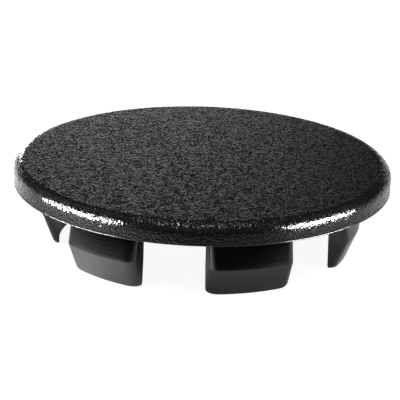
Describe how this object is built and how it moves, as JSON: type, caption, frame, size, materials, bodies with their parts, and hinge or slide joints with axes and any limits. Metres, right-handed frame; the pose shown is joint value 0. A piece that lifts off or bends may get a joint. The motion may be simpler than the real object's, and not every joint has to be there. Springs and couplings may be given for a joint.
{
  "type": "plastic hole plug",
  "caption": "Round snap-in plug with a flat, round-edged head and a ring of barbed fingers that closes an unused round hole in a panel.",
  "frame": {"origin": "on the plug's axis, in the plane of the ring under the head that seats on the panel", "axes": "+Z along the plug's axis, out of the crown; one finger points along -Y"},
  "size_m": [0.038, 0.038, 0.0088],
  "materials": {
    "black_nylon": "black moulded nylon, fine leather-like grain on the crown and rim, plain fingers with fine tool lines"
  },
  "bodies": {
    "root": {"hole_plug": "black_nylon"}
  },
  "joints": []
}
